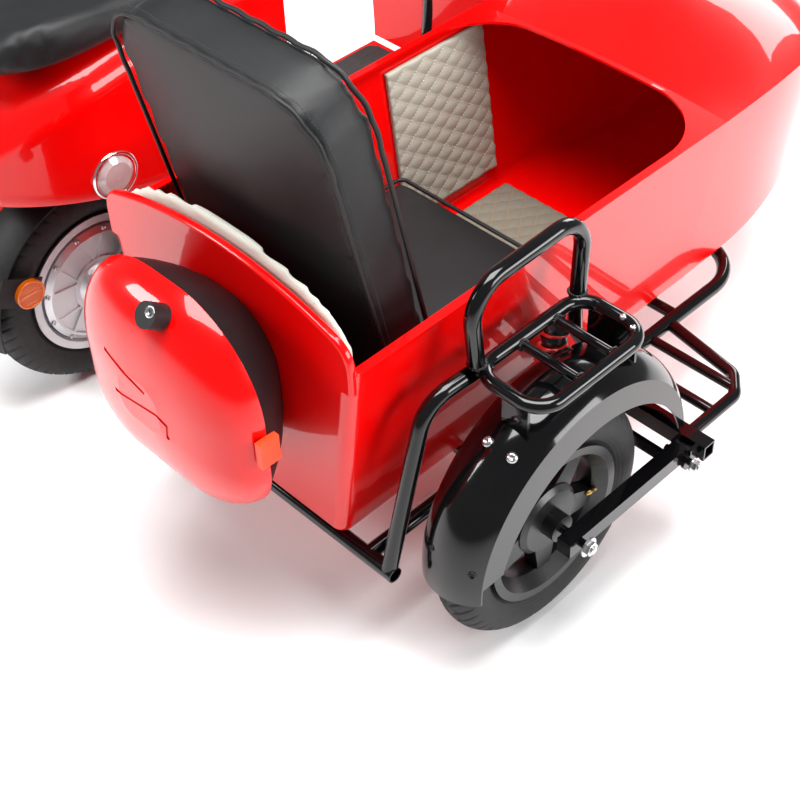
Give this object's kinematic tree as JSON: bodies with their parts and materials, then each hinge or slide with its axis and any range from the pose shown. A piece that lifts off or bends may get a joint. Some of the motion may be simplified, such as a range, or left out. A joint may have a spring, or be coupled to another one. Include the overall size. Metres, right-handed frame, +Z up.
{
  "type": "sidecar motorcycle",
  "caption": "Electric scooter with a passenger sidecar on its right side: steering, turning wheels, hinged saddle, and a lidded round case behind the tub.",
  "frame": {"origin": "centre of the vehicle's bounding box at floor level", "axes": "+X forward, +Y to the rider's left, +Z up"},
  "size_m": [1.707, 1.4278, 1.1631],
  "materials": {
    "tyre": "moulded rubber",
    "satin_black": "satin",
    "steel": "ground",
    "cast_alloy": "cast, satin",
    "frame_black": "gloss powder coat",
    "battery_grey": "moulded",
    "red_paint": "gloss",
    "red_gloss": "gloss",
    "rubber_mat": "ribbed",
    "black_plastic": "moulded",
    "black_vinyl": "grained vinyl",
    "red_lens": "clear red",
    "clear_lens": "clear",
    "amber_lens": "clear amber",
    "shock_black": "gloss",
    "silver_paint": "satin",
    "beige_quilt": "quilted vinyl",
    "plywood": "painted board",
    "white_pad": "textured",
    "orange_plastic": "moulded"
  },
  "bodies": {
    "chassis": {"scooter_frame": "frame_black", "battery_box": "battery_grey", "floorboard": "red_paint", "foot_mat": "rubber_mat", "leg_shield": "red_paint", "tail_body": "red_paint", "seat_bucket": "black_plastic", "tail_lamp": "red_lens", "rear_turn_lamps": "clear_lens", "front_turn_lamps": "clear_lens", "rear_mudguard": "black_plastic", "side_reflector": "amber_lens", "rear_swingarm": "frame_black", "rear_shocks": "shock_black", "wheel_arm": "frame_black", "side_shock": "shock_black", "sidecar_frame": "frame_black", "step_guard": "frame_black", "rack": "frame_black", "hand_hoop": "frame_black", "rack_leg": "frame_black", "rack_front_leg": "frame_black", "side_mudguard": "frame_black", "guard_brackets": "frame_black", "tub": "red_paint", "floor_liner": "beige_quilt", "bench_base": "plywood", "bench_cushion": "black_vinyl", "backrest": "black_vinyl", "rear_pad": "white_pad", "side_liners": "beige_quilt", "case_base": "black_plastic", "link_struts": "frame_black"},
    "steering": {"fork": "silver_paint", "front_mudguard": "red_paint", "handlebar": "frame_black", "grips": "rubber_mat", "headlamp_cowl": "red_paint", "headlamp": "clear_lens", "mirrors": "black_plastic"},
    "front_wheel": {"front_rim": "satin_black", "front_tyre": "tyre", "front_disc": "steel"},
    "rear_wheel": {"hub_motor": "cast_alloy", "rear_tyre": "tyre"},
    "side_wheel": {"side_rim": "satin_black", "side_tyre": "tyre"},
    "case_lid": {"case_lid": "red_gloss", "case_lock": "black_plastic", "case_latch": "orange_plastic"},
    "saddle": {"saddle": "black_vinyl"}
  },
  "joints": [
    {"name": "steering_head", "type": "hinge", "parent": "chassis", "child": "steering", "pos_m": [0.42418, 0.36814, 0.54968], "axis": [-0.4384, 0, 0.8988], "range_deg": [-38, 38]},
    {"name": "front_wheel_spin", "type": "hinge", "parent": "steering", "child": "front_wheel", "pos_m": [0.63099, 0.36814, 0.2055], "axis": [0, 1, 0], "continuous": true},
    {"name": "rear_wheel_spin", "type": "hinge", "parent": "chassis", "child": "rear_wheel", "pos_m": [-0.56901, 0.36814, 0.2055], "axis": [0, 1, 0], "continuous": true},
    {"name": "side_wheel_spin", "type": "hinge", "parent": "chassis", "child": "side_wheel", "pos_m": [-0.43801, -0.60786, 0.2055], "axis": [0, 1, 0], "continuous": true},
    {"name": "case_lid_hinge", "type": "hinge", "parent": "chassis", "child": "case_lid", "pos_m": [-0.77731, -0.02186, 0.473], "axis": [0, 0, -1], "range_deg": [0, 95]},
    {"name": "saddle_hinge", "type": "hinge", "parent": "chassis", "child": "saddle", "pos_m": [-0.13201, 0.36814, 0.697], "axis": [0, 1, 0], "range_deg": [0, 65]}
  ]
}
